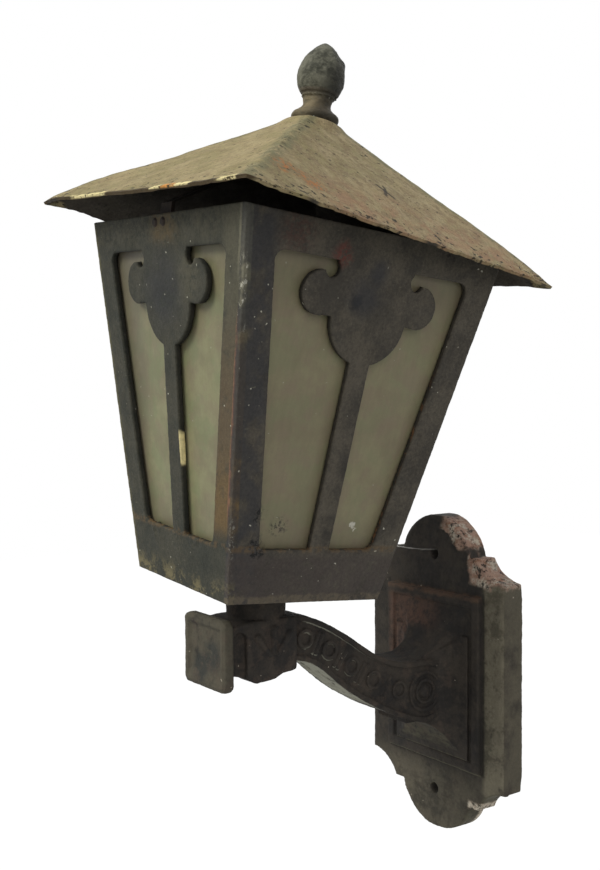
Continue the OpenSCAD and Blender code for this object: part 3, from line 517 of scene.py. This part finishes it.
def roofPaint(name):
    look = roofLook
    reach = roofReach
    f = Finish(name, 0.82, 0.25)
    here = f.within(roofSpace)
    x, y, z = f.parts(here)
    ragged = f.warped(5, 6, here)
    raggedX, raggedY, raggedZ = f.parts(ragged)
    fine = f.noise(1.5, 6, 0.72)
    mottle = f.noise(6, 6, 0.7, warp=0.4)
    half = roofShape["half"] - z * (1 / math.tan(math.radians(roofShape["slope"])))
    right = (half - x).fade(*reach["slope"])
    front = (half + y).fade(*reach["slope"])
    colour = f.mix(look["tan"], look["olive"], f.noise(22, 6, 0.7).fade(0.4, 0.6))
    colour = f.mix(colour, look["brown"], f.noise(6, 6, 0.75, warp=0.5).fade(0.46, 0.64) * 0.7)
    colour = f.mix(colour, look["brown"], right * mottle.fade(0.3, 0.66) * 0.5)
    # pink undercoat showing low on the right slope, orange rust near the front corner
    pink = right * raggedZ.fade(*reach["pinkLow"]) * raggedY.fade(*reach["pinkBack"])
    pink = pink * f.noise(11, 6, 0.7).fade(0.4, 0.6)
    colour = f.mix(colour, look["pink"], pink * 0.55)
    rust = f.spot(*roofMarks["rustHigh"], ragged) + f.spot(*roofMarks["rustLow"], ragged)
    rust = rust.atMost(1) * right
    colour = f.mix(colour, look["brown"], rust * 0.5)
    colour = f.mix(colour, look["orange"], rust * f.noise(3, 6, 0.8).fade(0.48, 0.56) * 0.9)
    # green-grey band along the folds
    hip = abs(abs(raggedX) - abs(raggedY)).fade(*reach["hip"])
    colour = f.mix(colour, look["moss"], hip * mottle.fade(0.36, 0.56) * 0.75)
    # flaked pits, thick by the folds and the eaves
    nearEdge = (z.fade(*reach["lowEave"]) * right.span(0.7, 1) + hip * 0.7).atMost(1)
    patchy = nearEdge * f.noise(8, 4, 0.6).fade(0.38, 0.58)
    level = f.join(x * 0.7, y * 0.7, z * 1.5)
    flakes = (f.noise(2.4, 4, 0.6, at=level) + patchy * 0.09).fade(0.645, 0.67)
    colour = f.mix(colour, look["bare"], flakes * 0.9)
    colour = f.mix(colour, look["brown"], front * f.noise(9, 6, 0.75).fade(0.58, 0.68) * 0.5)
    # scratched cross and a long scrape on the right slope
    away = f.vector("SUBTRACT", f.warped(3, 2, here), {1: scratchedCross["middle"]})
    _, along, up = f.parts(away)
    for turn in scratchedCross["turns"]:
        stroke = abs(along * math.cos(turn) + up * math.sin(turn) * 1.3).fade(*scratchedCross["width"])
        within = (abs(along) + abs(up)).fade(*scratchedCross["length"]) * x.fade(*scratchedCross["side"])
        colour = f.mix(colour, look["bare"], stroke * within * 0.85)
    scrape = abs(along * 0.5 + up - longScrape["rise"]).fade(*longScrape["width"])
    scrape = scrape * abs(along - longScrape["along"]).fade(*longScrape["length"])
    scrape = scrape * x.fade(*longScrape["side"])
    colour = f.mix(colour, look["brown"], scrape * mottle.fade(0.4, 0.6) * 0.8)
    # eave: bright worn lip at the left, in runs further on
    rim = abs(z - reach["rim"]).fade(*reach["rimWidth"]) * f.noise(4, 5, 0.7).fade(0.4, 0.46)
    alongEave = f.parts(f.warped(7, 16, here))[0]
    colour = f.mix(colour, look["edge"], z.fade(*reach["lip"]) * (front * 0.9 + 0.1))
    for middle, spread, tintName in wornRuns:
        worn = front * rim * abs(alongEave - middle).fade(spread, spread * 0.7)
        colour = f.mix(colour, look[tintName], worn)
    upward = (roofSpace.to_3x3() @ Vector((0, 0, 1)))[:]
    lit = f.vector("DOT_PRODUCT", f.facing(), {1: upward}, "Value")
    under = f.mix(look["under"], look["bare"], mottle.fade(0.4, 0.66) * 0.5)
    colour = f.mix(colour, under, lit.fade(*reach["underside"]))
    colour = f.tone(colour, f.noise(3, 5, 0.75).span(0.7, 1.3))
    colour = f.tone(colour, fine.span(0.66, 1.34))
    height = fine * 0.7 + mottle * 0.9 + f.noise(0.8, 3, 0.7) * 0.3 - flakes * 1.6
    return f.finish(colour, f.noise(9, 4, 0.6).span(0.66, 0.95), height, 0.5)


finialLook = {
    "dark": rgb(56, 57, 48), "grey": rgb(106, 106, 93), "tan": rgb(126, 113, 87),
    "pale": rgb(132, 132, 116), "night": rgb(34, 34, 32), "brown": rgb(104, 96, 84),
    "speck": rgb(176, 176, 166), "foot": (7, 1), "neck": (17, 10), "bead": 15.4, "beadWidth": (1.6, 0.6),
    "middle": 24, "sheltered": (0, 10),
}


def finialPaint(name):
    look = finialLook
    f = Finish(name, 0.8, 0.25)
    x, y, z = f.parts(f.within(studSpace))
    fine = f.noise(1.3, 6, 0.72)
    mottle = f.noise(4, 5, 0.7, warp=0.5)
    shade = (f.noise(9, 5, 0.65) * 0.6 + mottle * 0.4).fade(0.4, 0.58)
    colour = f.mix(look["dark"], look["grey"], shade)
    colour = f.mix(colour, look["tan"], z.fade(*look["neck"]) * mottle.fade(0.26, 0.5) * 0.85)
    colour = f.mix(colour, look["dark"], z.fade(*look["foot"]) * 0.35)
    colour = f.mix(colour, look["brown"], abs(z - look["bead"]).fade(*look["beadWidth"]) * 0.7)
    colour = f.mix(colour, look["pale"], mottle.fade(0.6, 0.72) * 0.5)
    # painted shade: the finial's right, back and lower side darkened
    sheltered = (x * 0.6 + y * 0.8 - (z - look["middle"]) * 0.35).fade(*look["sheltered"])
    colour = f.mix(colour, look["night"], sheltered * 0.75)
    specks = f.cells(5).fade(0.11, 0.07) * f.noise(11, 3, 0.6).fade(0.5, 0.56)
    colour = f.mix(colour, look["speck"], specks)
    colour = f.tone(colour, fine.span(0.62, 1.38))
    return f.finish(colour, f.noise(6, 4, 0.6).span(0.6, 0.92), fine * 0.6 + mottle, 0.6)


paneLook = {
    "clear": rgb(143, 141, 106), "stain": rgb(126, 121, 93), "green": rgb(122, 132, 94),
    "brown": rgb(134, 121, 100), "grime": rgb(90, 82, 66), "soot": rgb(26, 24, 22),
    "chalk": rgb(208, 206, 192), "purple": rgb(98, 88, 80), "seeThrough": 0.18, "bending": 1.48,
    "sidePane": (8.6, 9.6), "lowGrime": (26, 52), "highGrime": (132, 176), "purpleEdge": (-26, -46),
}
paneMarks = {"whiteHigh": ((50, 22.3, 41.8), 2.2, 0.4), "whiteLow": ((50, 24, 39.4), 1.3, 0.4)}


def paneGlass(name):
    look = paneLook
    f = Finish(name, 0.5, 0.4)
    here = f.within(lanternSpace)
    x, y, z = f.parts(here)
    smudged = f.warped(2.5, 5, here)
    right = 1 - (bodyHalf(z) - x).fade(*look["sidePane"])
    streak = f.noise(2.6, 5, 0.65, at=f.join(x, y, z * 0.14))
    colour = f.mix(look["clear"], look["stain"], f.noise(24, 5, 0.65).fade(0.35, 0.65))
    colour = f.mix(colour, look["green"], f.noise(16, 4, 0.6).fade(0.44, 0.6) * 0.5)
    brown = right * 0.35 + f.noise(11, 5, 0.65).fade(0.46, 0.62) * 0.4
    colour = f.mix(colour, look["brown"], brown.atMost(1))
    colour = f.mix(colour, look["grime"], (1 - z.fade(*look["lowGrime"])) * 0.4)
    colour = f.mix(colour, look["grime"], z.fade(*look["highGrime"]) * 0.45)
    # painted shade: purple-brown darkening towards the lantern's left side, on every pane but the right one
    colour = f.mix(colour, look["purple"], (1 - right) * x.fade(*look["purpleEdge"]) * 0.55)
    sooty = f.noise(2.2, 5, 0.75).fade(0.5, 0.46)
    for centre, radius in sootSpots:
        colour = f.mix(colour, look["soot"], f.spot(centre, radius + 2, 0.5, smudged) * sooty * 0.9)
    white = (f.spot(*paneMarks["whiteHigh"], smudged) + f.spot(*paneMarks["whiteLow"], smudged)).atMost(1)
    colour = f.mix(colour, look["chalk"], white * f.noise(1.6, 4, 0.7).fade(0.38, 0.46))
    colour = f.mix(colour, look["chalk"], f.cells(9, smudged).fade(0.05, 0.03) * 0.6)
    colour = f.tone(colour, streak.span(0.86, 1.14))
    colour = f.tone(colour, f.noise(1.2, 4, 0.7).span(0.92, 1.08))
    f.constant("Transmission Weight", look["seeThrough"])
    f.constant("IOR", look["bending"])
    height = streak * 0.5 + f.noise(1.4, 3, 0.6) * 0.5
    return f.finish(colour, f.noise(12, 3, 0.6).span(0.4, 0.62), height, 0.15)


fittingRust = rgb(96, 66, 44)
glazeDust = rgb(120, 108, 84)
bulbLook = {"clean": rgb(226, 224, 214), "dusty": rgb(190, 184, 164), "seeThrough": 0.5}


def plainMetal(name, dark, pale, metal=0.6, rough=(0.4, 0.7)):
    f = Finish(name, 0.5, 0.4, metal)
    colour = f.mix(dark, pale, f.noise(6, 5, 0.65).fade(0.4, 0.62))
    colour = f.mix(colour, fittingRust, f.noise(3, 5, 0.75).fade(0.6, 0.72) * 0.5)
    return f.finish(colour, f.noise(4, 4, 0.6).span(*rough), f.noise(1.2, 4, 0.7), 0.15)


def glazed(name, colour, rough=0.25):
    f = Finish(name, rough, 0.5)
    tint = f.tone(colour, f.noise(14, 3, 0.5).span(0.9, 1.1))
    tint = f.mix(tint, glazeDust, f.noise(8, 5, 0.7).fade(0.56, 0.72) * 0.4)
    return f.finish(tint, f.noise(10, 3, 0.5).span(rough, rough + 0.15), f.noise(3, 3, 0.5), 0.1)


def bulbGlass(name):
    f = Finish(name, 0.35, 0.5)
    tint = f.mix(bulbLook["clean"], bulbLook["dusty"], f.noise(16, 4, 0.6).fade(0.45, 0.7) * 0.6)
    f.constant("Transmission Weight", bulbLook["seeThrough"])
    return f.finish(tint, f.noise(10, 3, 0.5).span(0.3, 0.45), f.noise(3, 3, 0.5), 0.05)


ironFinish = ironPaint("agedIronPaint")
castFinish = castPaint("darkCastPaint")
roofFinish = roofPaint("flakingRoofPaint")
finialFinish = finialPaint("finialPaint")
steelFinish = plainMetal("dullSteel", rgb(66, 62, 56), rgb(104, 100, 92))
strapFinish = plainMetal("rustyStrap", rgb(34, 29, 25), rgb(54, 45, 38), 0.0, (0.8, 0.9))
brassFinish = plainMetal("dullBrass", rgb(120, 94, 52), rgb(170, 136, 78), 0.9)
wireFinish = plainMetal("galvanisedWire", rgb(112, 110, 106), rgb(168, 166, 160), 0.7, (0.3, 0.5))
porcelain = glazed("creamPorcelain", rgb(214, 206, 184))
paneFinish = paneGlass("frostedPane")
bulbFinish = bulbGlass("frostedBulb")
print("finishes made")


def dress(piece, material):
    piece.data.materials.clear()
    piece.data.materials.append(material)


dressed = (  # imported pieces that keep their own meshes
    (paneFinish, ("pane_front", "pane_right", "pane_back", "pane_left")),
    (steelFinish, ("glazing_clips", "base_tray", "nipple_washer", "holder_base", "stud", "strap_nuts",
                   "roof_nut", "roof_washer")),
    (strapFinish, ("roof_strap", "strap_rivets")),
    (brassFinish, ("nipple", "nipple_nut", "holder_screws", "screw_shell", "centre_contact", "bulb_cap")),
    (porcelain, ("lampholder",)),
    (bulbFinish, ("bulb",)),
)
for material, nodeNames in dressed:
    for nodeName in nodeNames:
        dress(nodes[nodeName], material)
print("packed pieces dressed")


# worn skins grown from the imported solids
def copyOf(names, title):
    clearSelection()
    for name in names:
        twin = nodes[name].copy()
        twin.data = nodes[name].data.copy()
        twin.parent = None
        bpy.context.scene.collection.objects.link(twin)
        for key in [k for k in twin.keys() if k.startswith("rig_")]:
            del twin[key]
        twin.select_set(True)
        bpy.context.view_layer.objects.active = twin
    if len(names) > 1:
        bpy.ops.object.join()
    piece = bpy.context.view_layer.objects.active
    piece.name = title
    pick(piece)
    bpy.ops.object.mode_set(mode="EDIT")
    bpy.ops.mesh.select_all(action="SELECT")
    bpy.ops.mesh.remove_doubles(threshold=0.01 * mm)
    bpy.ops.object.mode_set(mode="OBJECT")
    return piece


def cloudTexture(title, size):
    cloud = bpy.data.textures.new(title, "CLOUDS")
    cloud.noise_scale = size * mm
    return cloud


def carry(piece, space):  # mesh moved by a placing given in mm
    piece.matrix_world = Matrix.Scale(mm, 4) @ space @ Matrix.Scale(1000, 4)
    freeze(piece)


def weigh(piece, title, rule):  # a vertex group filled by place, in mm
    group = piece.vertex_groups.new(name=title)
    for vertex in piece.data.vertices:
        share = rule(*(vertex.co / mm))
        if share > 0.01:
            group.add([vertex.index], min(share, 1), "REPLACE")
    return group.name


def near(distance, reach):  # 1 at the place itself, 0 beyond reach
    share = max(0, 1 - distance / reach)
    return share * share * (3 - 2 * share)


def ramp(value, start, end):
    return min(max((value - start) / (end - start), 0), 1)


def roughen(piece, title, size, depth, level=0.5, **settings):
    cloud = cloudTexture(title, size)
    applyModifier(piece, "DISPLACE", texture=cloud, mid_level=level, strength=depth * mm,
                  texture_coords="LOCAL", **settings)


def push(piece, title, depth, rule, **settings):  # points moved by up to depth, in mm
    group = weigh(piece, title, rule)
    applyModifier(piece, "DISPLACE", mid_level=0, strength=depth * mm, vertex_group=group, **settings)


def soften(piece, passes, **settings):
    applyModifier(piece, "SMOOTH", factor=0.5, iterations=passes, **settings)


def wear(piece, skin):
    grid = skin["cell"] * mm * 2 ** skin["depth"]
    applyModifier(piece, "REMESH", mode="SHARP", octree_depth=skin["depth"], sharpness=1.0,
                  use_smooth_shade=True, use_remove_disconnected=False, scale=max(piece.dimensions) / grid)
    soften(piece, skin["smooth"])
    for title in ("lumps", "pitting"):
        roughen(piece, piece.name + title, *skin[title])


def stand(piece, carrier, slot, material, *replaced):
    dress(piece, material)
    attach(piece, carrier)
    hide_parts(*replaced)


# sizes in mm; lumps and pitting: size, depth
shellSkin = {
    "cell": 1.15, "depth": 8, "smooth": 1, "lumps": (9, 0.3), "pitting": (2.2, 0.22),
    "debris": ((-26, -50.5, 27.5, 11), (18, -50, 26.5, 7)), "crumbs": (2.6, 3.2, 0.42), "mitre": 0.02,
}
sideNames = ("side_front", "side_right", "side_back", "side_left")


def dropMitres(piece):  # the four plates become one frame once their meeting faces go
    mesh = piece.data
    pick(piece)
    bpy.ops.object.mode_set(mode="EDIT")
    bpy.ops.mesh.select_all(action="DESELECT")
    bpy.ops.object.mode_set(mode="OBJECT")
    for face in mesh.polygons:
        corners = [mesh.vertices[i].co / mm for i in face.vertices]
        face.select = all(abs(abs(c.x) - abs(c.y)) < shellSkin["mitre"] for c in corners)
    print("mitre faces:", sum(face.select for face in mesh.polygons))
    bpy.ops.object.mode_set(mode="EDIT")
    bpy.ops.mesh.delete(type="FACE")
    bpy.ops.mesh.select_all(action="SELECT")
    bpy.ops.mesh.remove_doubles(threshold=shellSkin["mitre"] * mm)
    bpy.ops.object.mode_set(mode="OBJECT")


def onSill(x, y, z):
    return max(near(math.dist((x, y, z), heap[:3]), heap[3]) for heap in shellSkin["debris"])


shell = copyOf(sideNames, "lanternShell")
carry(shell, lanternSpace.inverted())
dropMitres(shell)
wear(shell, shellSkin)
roughen(shell, "sillDebris", *shellSkin["crumbs"], vertex_group=weigh(shell, "debris", onSill))
carry(shell, lanternSpace)
stand(shell, "lantern", "lantern_iron", ironFinish, *sideNames)
print("lantern shell:", len(shell.data.polygons), "faces")

# corner: across, height, reach; mortar's lobe: radius, reach; mortar's cove: across, reach
bracketSkin = {
    "cell": 0.92, "depth": 8, "smooth": 1, "lumps": (8, 0.6), "pitting": (2.2, 0.3),
    "corner": (58.7, 62, 10), "cornerPasses": 14, "crust": (5, 3.6, 0.4), "lobe": (26, 4), "cove": (35, 7),
    "droop": -2.6, "droopRight": (5, 30), "droopBelow": (40, 80), "droopAbove": (50, 70), "aboveShare": 0.6,
    "front": -11, "armFoot": -17, "back": -1.2,
}


def plateCorner(x, y, z):
    across, high, reach = bracketSkin["corner"]
    return near(math.hypot(abs(x) - across, abs(z) - high), reach) if y > bracketSkin["front"] else 0


def skewed(x, y, z):  # right half of the casting droops a little
    below = ramp(-z, *bracketSkin["droopBelow"])
    above = ramp(z, *bracketSkin["droopAbove"]) * bracketSkin["aboveShare"]
    share = ramp(x, *bracketSkin["droopRight"]) * max(below, above)
    return share if y > bracketSkin["armFoot"] else 0


def mortarEdge(x, y, z):
    if y < bracketSkin["front"] or y > bracketSkin["back"]:
        return 0
    radius, lobeReach = bracketSkin["lobe"]
    across, coveReach = bracketSkin["cove"]
    lobe = near(abs(math.hypot(x, z - lobeHeight) - radius), lobeReach) if x > 4 and z > 74 else 0
    cove = near(abs(x - across), coveReach) if 56 < z < 74 else 0
    return max(lobe, cove)


bracket = copyOf(["wall_bracket"], "castBracket")
wear(bracket, bracketSkin)
soften(bracket, bracketSkin["cornerPasses"], vertex_group=weigh(bracket, "corners", plateCorner))
push(bracket, "skew", bracketSkin["droop"], skewed, direction="Z")
roughen(bracket, "mortarCrust", *bracketSkin["crust"], vertex_group=weigh(bracket, "mortar", mortarEdge))
stand(bracket, "lantern", "cast_iron_dark", castFinish, "wall_bracket")
print("bracket:", len(bracket.data.polygons), "faces")

# heights above the roof's top; bulge: place, reach, rise; bead: height, reach, rise; point: top, reach
finialSkin = {
    "cell": 0.45, "depth": 7, "smooth": 3, "lumps": (6, 0.9), "pitting": (2.0, 0.4),
    "bulge": (6.8, 9.2, 33.5, 6, 1.1), "bead": (13.2, 2.4, -1.4), "point": (47, 8), "pointPasses": 80,
}


def knobSide(x, y, z):
    return near(math.dist((x, y, z), finialSkin["bulge"][:3]), finialSkin["bulge"][3])


def knobBead(x, y, z):
    return near(abs(z - finialSkin["bead"][0]), finialSkin["bead"][1])


def knobPoint(x, y, z):
    return near(finialSkin["point"][0] - z, finialSkin["point"][1])


knob = copyOf(["finial"], "turnedFinial")
carry(knob, studSpace.inverted())
wear(knob, finialSkin)
push(knob, "bulge", finialSkin["bulge"][-1], knobSide)
push(knob, "bead", finialSkin["bead"][-1], knobBead)
soften(knob, finialSkin["pointPasses"], vertex_group=weigh(knob, "point", knobPoint))
carry(knob, studSpace)
stand(knob, "finial", "lantern_iron", finialFinish, "finial")
print("finial:", len(knob.data.polygons), "faces")

wireSkin = {"zinc": 0.12, "smoothAngle": 40}
wire = copyOf(["tie_wire"], "twistedWire")
applyModifier(wire, "DISPLACE", mid_level=0, strength=wireSkin["zinc"] * mm)
pick(wire)
bpy.ops.object.shade_smooth_by_angle(angle=math.radians(wireSkin["smoothAngle"]))
stand(wire, "lantern", "tie_wire_steel", wireFinish, "tie_wire")
print("tie wire:", len(wire.data.polygons), "faces")

# folded roof sheet with soft hips, bent corners and a ragged eave, in mm
roof = {
    "cap": 11, "sheet": 1.6, "cuts": 90, "hipReach": 5, "hipPasses": 8, "rimReach": 4, "smoothAngle": 50,
    "wave": (45, 1.6), "lumps": (8, 0.6), "ragged": (6, 1.3), "topReach": 34, "topPasses": 40,
    "bend": 78, "bendReach": 46, "leftWidth": 46, "rightWidth": 50, "tip": 100, "tipReach": 24,
    "tipHeight": 4, "leftLift": 2.6, "rightLift": 1.4, "tipDrop": -1.6,
    "seat": 65.7, "lean": (0.0154, 0.039), "seatRadius": 12, "seatReach": 8, "raise": 5,
}


def onHip(x, y, z):
    return near(abs(abs(x) - abs(y)), roof["hipReach"]) if z > 0.5 else 0


def onRim(x, y, z):
    return near(z, roof["rimReach"])


def onTop(x, y, z):
    return near(math.hypot(x, y), roof["topReach"])


def underFinial(x, y, z):  # how far the sheet lies below the leaning finial
    gap = roof["seat"] + roof["lean"][0] * x + roof["lean"][1] * y - z
    return gap / roof["raise"] * near(max(0, math.hypot(x, y) - roof["seatRadius"]), roof["seatReach"])


def leftCorner(x, y, z):
    away = math.hypot(x + roof["bend"], y + roof["bend"])
    return near(abs(x - y), roof["leftWidth"]) * near(away, roof["bendReach"])


def backCorner(x, y, z):
    away = math.hypot(x - roof["bend"], y - roof["bend"])
    return near(abs(x - y), roof["rightWidth"]) * near(away, roof["bendReach"])


def cornerTip(x, y, z):
    left = near(math.hypot(x + roof["tip"], y + roof["tip"]), roof["tipReach"])
    back = near(math.hypot(x - roof["tip"], y - roof["tip"]), roof["tipReach"])
    return near(z, roof["tipHeight"]) * max(left, back)


def makeRoof():
    half = roofShape["half"]
    rise = (half - roof["cap"]) * math.tan(math.radians(roofShape["slope"]))
    clearSelection()
    bpy.ops.mesh.primitive_cone_add(vertices=4, radius1=half * math.sqrt(2) * mm,
                                    radius2=roof["cap"] * math.sqrt(2) * mm, depth=rise * mm,
                                    end_fill_type="NGON", location=(0, 0, rise / 2 * mm),
                                    rotation=(0, 0, math.radians(45)))
    piece = bpy.context.object
    piece.name = "foldedRoof"
    freeze(piece)
    bpy.ops.object.mode_set(mode="EDIT")
    bpy.ops.mesh.select_all(action="DESELECT")
    bpy.ops.object.mode_set(mode="OBJECT")
    for face in piece.data.polygons:
        face.select = face.normal.z < -0.9  # the cone's floor goes, the slopes and the top stay
    bpy.ops.object.mode_set(mode="EDIT")
    bpy.ops.mesh.delete(type="FACE")
    bpy.ops.mesh.select_all(action="SELECT")
    bpy.ops.mesh.subdivide(number_cuts=roof["cuts"])
    bpy.ops.mesh.normals_make_consistent(inside=False)
    bpy.ops.object.mode_set(mode="OBJECT")
    return piece


def ageRoof(piece):
    hips = weigh(piece, "hips", onHip)
    rim = weigh(piece, "rim", onRim)
    soften(piece, roof["hipPasses"], vertex_group=hips)
    roughen(piece, "roofWave", *roof["wave"])
    roughen(piece, "roofLumps", *roof["lumps"])
    for direction, title in (("Z", "eaveHigh"), ("X", "eaveAcross"), ("Y", "eaveDeep")):
        roughen(piece, title, *roof["ragged"], direction=direction, vertex_group=rim)
    soften(piece, roof["topPasses"], vertex_group=weigh(piece, "top", onTop))
    for title, rule in (("leftLift", leftCorner), ("rightLift", backCorner), ("tipDrop", cornerTip),
                        ("raise", underFinial)):
        push(piece, title, roof[title], rule, direction="Z")


roofSheet = makeRoof()
ageRoof(roofSheet)
print("roof:", len(roofSheet.data.polygons), "faces before the sheet's thickness")
carry(roofSheet, roofSpace)
applyModifier(roofSheet, "SOLIDIFY", thickness=roof["sheet"] * mm, offset=-1)
pick(roofSheet)
bpy.ops.object.shade_smooth_by_angle(angle=math.radians(roof["smoothAngle"]))
stand(roofSheet, "lantern", "roof_sheet", roofFinish, "roof")

# floor, light and white surroundings, in metres
room = {
    "floorSize": 8, "floorHeight": -0.5, "floorGrey": (0.5, 0.5, 0.5, 1), "floorGlow": 1.1,
    "floorShare": 0.9, "sky": (0.96, 0.98, 1, 1), "skyStrength": 0.32, "white": (1, 1, 1, 1),
}
lamps = {  # direction towards the lamp, strength, colour, softness in degrees
    "keyLamp": ((-0.15, -0.75, 0.65), 2.2, (1.0, 0.98, 0.90), 25),
    "fillLamp": ((0.85, -0.35, 0.40), 0.84, (1.0, 0.96, 0.95), 50),
    "backLamp": ((-0.35, 0.90, 0.35), 0.7, (1.0, 1.0, 1.0), 50),
}


def emptyTree(block):
    block.use_nodes = True
    block.node_tree.nodes.clear()
    return block.node_tree


def seenDirectly(tree):  # 1 for rays from the camera, a mirror or glass, 0 for light on the object
    path = tree.nodes.new("ShaderNodeLightPath")
    seen = path.outputs["Is Camera Ray"]
    for ray in ("Is Glossy Ray", "Is Transmission Ray"):
        most = tree.nodes.new("ShaderNodeMath")
        most.operation = "MAXIMUM"
        tree.links.new(seen, most.inputs[0])
        tree.links.new(path.outputs[ray], most.inputs[1])
        seen = most.outputs[0]
    return seen


def mixInto(tree, share, first, second, output):
    mixer = tree.nodes.new("ShaderNodeMixShader")
    tree.links.new(share, mixer.inputs[0])
    tree.links.new(first.outputs[0], mixer.inputs[1])
    tree.links.new(second.outputs[0], mixer.inputs[2])
    tree.links.new(mixer.outputs[0], tree.nodes.new(output).inputs["Surface"])


def makeStage():
    clearSelection()
    bpy.ops.mesh.primitive_plane_add(size=room["floorSize"], location=(0, 0, room["floorHeight"]))
    floor = bpy.context.object
    floor.name = "floor"
    material = bpy.data.materials.new("whiteFloor")
    tree = emptyTree(material)
    paint = tree.nodes.new("ShaderNodeBsdfDiffuse")
    paint.inputs["Color"].default_value = room["floorGrey"]
    glow = tree.nodes.new("ShaderNodeEmission")
    glow.inputs["Color"].default_value = room["white"]
    glow.inputs["Strength"].default_value = room["floorGlow"]
    share = tree.nodes.new("ShaderNodeMath")
    share.operation = "MULTIPLY"
    share.inputs[1].default_value = room["floorShare"]
    tree.links.new(seenDirectly(tree), share.inputs[0])
    mixInto(tree, share.outputs[0], paint, glow, "ShaderNodeOutputMaterial")
    floor.data.materials.append(material)


def makeWorld():
    world = bpy.data.worlds.new("whiteRoom")
    bpy.context.scene.world = world
    tree = emptyTree(world)
    dim = tree.nodes.new("ShaderNodeBackground")
    dim.inputs["Color"].default_value = room["sky"]
    dim.inputs["Strength"].default_value = room["skyStrength"]
    white = tree.nodes.new("ShaderNodeBackground")
    white.inputs["Color"].default_value = room["white"]
    mixInto(tree, seenDirectly(tree), dim, white, "ShaderNodeOutputWorld")


def makeLamps():
    for name, (towards, strength, colour, soft) in lamps.items():
        clearSelection()
        bpy.ops.object.light_add(type="SUN", location=Vector(towards) * 2)
        lamp = bpy.context.object
        lamp.name = name
        lamp.rotation_euler = Vector(towards).to_track_quat("Z", "Y").to_euler()
        lamp.data.energy = strength
        lamp.data.color = colour
        lamp.data.angle = math.radians(soft)


makeStage()
makeWorld()
makeLamps()
bpy.context.scene.view_settings.view_transform = "Standard"
print("stage and lamps set")
